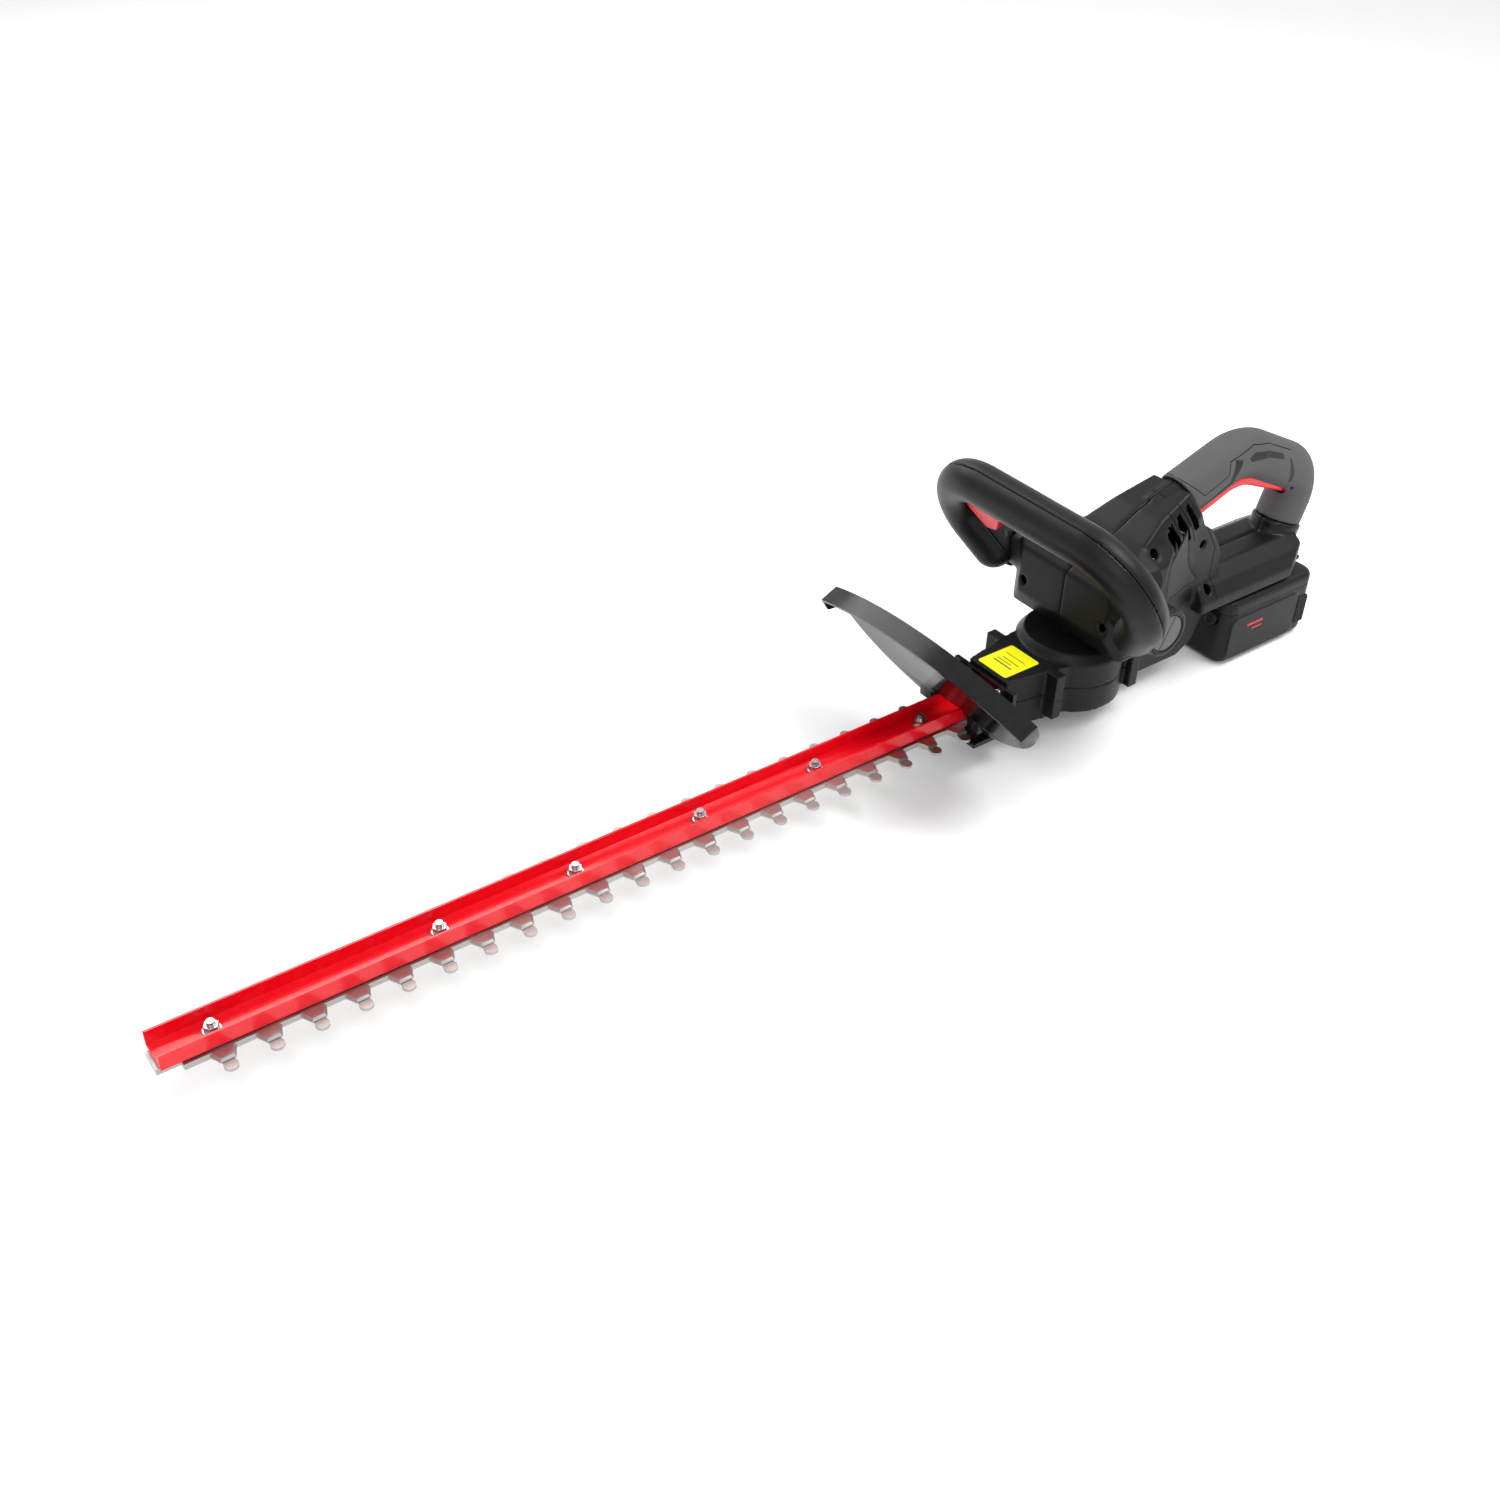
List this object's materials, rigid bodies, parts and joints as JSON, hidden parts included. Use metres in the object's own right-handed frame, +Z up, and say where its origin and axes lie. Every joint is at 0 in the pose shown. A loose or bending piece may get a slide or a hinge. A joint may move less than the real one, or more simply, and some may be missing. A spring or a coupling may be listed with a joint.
{
  "type": "hedge trimmer",
  "caption": "Cordless double-sided hedge trimmer with a guide channel, hand guard, loop front handle, D-shaped rear handle and slide-on battery.",
  "frame": {"origin": "under the middle of the whole trimmer, on the plane of the battery's underside", "axes": "+X along the blades to their tip, +Y to the operator's left, +Z up"},
  "size_m": [0.9462, 0.2134, 0.1918],
  "materials": {
    "housing_plastic": "fine moulded texture",
    "cover_plastic": "fine moulded texture",
    "grip_rubber": "soft overmould",
    "red_channel": "gloss paint",
    "red_plastic": "satin",
    "blade_steel": "ground",
    "fastener_steel": "zinc plated",
    "guard_plastic": "polished",
    "label_film": "plain film",
    "cap_plastic": "satin",
    "gear_steel": "cut teeth",
    "bearing_steel": "ground",
    "motor_steel": "drawn",
    "magnet_ferrite": "sintered",
    "switch_plastic": "moulded",
    "contact_brass": "stamped",
    "board_green": "solder mask",
    "lead_red": "insulation",
    "seal_rubber": "felted",
    "cell_wrap": "shrink wrap",
    "spring_steel": "drawn wire"
  },
  "bodies": {
    "housing": {"battery_socket": "housing_plastic", "blade_bolts": "fastener_steel", "blade_bushes": "gear_steel", "blade_nuts": "fastener_steel", "blade_seal": "seal_rubber", "blank_label": "label_film", "body_left_shell": "housing_plastic", "body_right_shell": "housing_plastic", "body_screws": "fastener_steel", "control_board": "board_green", "front_switch": "switch_plastic", "gearbox_lower_housing": "housing_plastic", "gearbox_screws": "fastener_steel", "gearbox_upper_housing": "housing_plastic", "guard_screws": "fastener_steel", "guide_channel": "red_channel", "hand_guard": "guard_plastic", "left_side_cover": "cover_plastic", "lever_pin": "gear_steel", "lever_spring": "spring_steel", "loop_caps": "cap_plastic", "loop_front_shell": "housing_plastic", "loop_rear_shell": "housing_plastic", "loop_screws": "fastener_steel", "lower_shaft_bearing": "bearing_steel", "motor_bearings": "bearing_steel", "motor_can": "motor_steel", "motor_leads": "lead_red", "motor_magnets": "magnet_ferrite", "rear_grip": "grip_rubber", "rear_switch": "switch_plastic", "right_side_cover": "cover_plastic", "terminal_block": "contact_brass", "trigger_pin": "gear_steel", "trigger_spring": "spring_steel", "upper_shaft_bearing": "bearing_steel"},
    "drive": {"drive_gear": "gear_steel", "gear_shaft": "gear_steel"},
    "rotor": {"motor_rotor": "motor_steel", "motor_pinion": "gear_steel"},
    "upper_blade_body": {"upper_blade": "blade_steel"},
    "lower_blade_body": {"lower_blade": "blade_steel"},
    "trigger_body": {"rear_trigger": "red_plastic"},
    "lever_body": {"front_lever": "red_plastic"},
    "battery_pack": {"battery_lower_case": "housing_plastic", "battery_upper_case": "housing_plastic", "battery_cells": "cell_wrap", "cell_holders": "switch_plastic", "battery_board": "board_green", "battery_terminals": "contact_brass", "battery_side_grips": "seal_rubber"},
    "latch_body": {"battery_latch": "cover_plastic"}
  },
  "joints": [
    {"name": "drive_gear_spin", "type": "hinge", "parent": "housing", "child": "drive", "pos_m": [-0.227, 0, 0.039], "axis": [0, 0, 1], "continuous": true},
    {"name": "motor_spin", "type": "hinge", "parent": "housing", "child": "rotor", "pos_m": [-0.26, 0, 0.081], "axis": [0, 0, 1], "continuous": true},
    {"name": "upper_blade_slide", "type": "slide", "parent": "housing", "child": "upper_blade_body", "axis": [1, 0, 0], "range_m": [-0.006, 0.006]},
    {"name": "lower_blade_slide", "type": "slide", "parent": "housing", "child": "lower_blade_body", "axis": [1, 0, 0], "range_m": [-0.006, 0.006]},
    {"name": "rear_trigger_squeeze", "type": "hinge", "parent": "housing", "child": "trigger_body", "pos_m": [-0.439, 0, 0.124], "axis": [0, -1, 0], "range_deg": [0, 4.5], "stiffness_Nm_per_rad": 0.6, "springref_deg": -8.59},
    {"name": "front_lever_squeeze", "type": "hinge", "parent": "housing", "child": "lever_body", "pos_m": [-0.17225, -0.078, 0.16931], "axis": [0.8712, 0, -0.4909], "range_deg": [0, 6], "stiffness_Nm_per_rad": 0.4, "springref_deg": -8.59},
    {"name": "battery_slide", "type": "slide", "parent": "housing", "child": "battery_pack", "axis": [-1, 0, 0], "range_m": [0, 0.105]},
    {"name": "battery_latch_press", "type": "slide", "parent": "battery_pack", "child": "latch_body", "axis": [-1, 0, 0], "range_m": [0, 0.0015], "stiffness_N_per_m": 400, "springref_m": -0.003}
  ],
  "couplings": [
    {"joint": "motor_spin", "follows": "drive_gear_spin", "ratio": -4.5},
    {"joint": "lower_blade_slide", "follows": "upper_blade_slide", "ratio": -1}
  ]
}
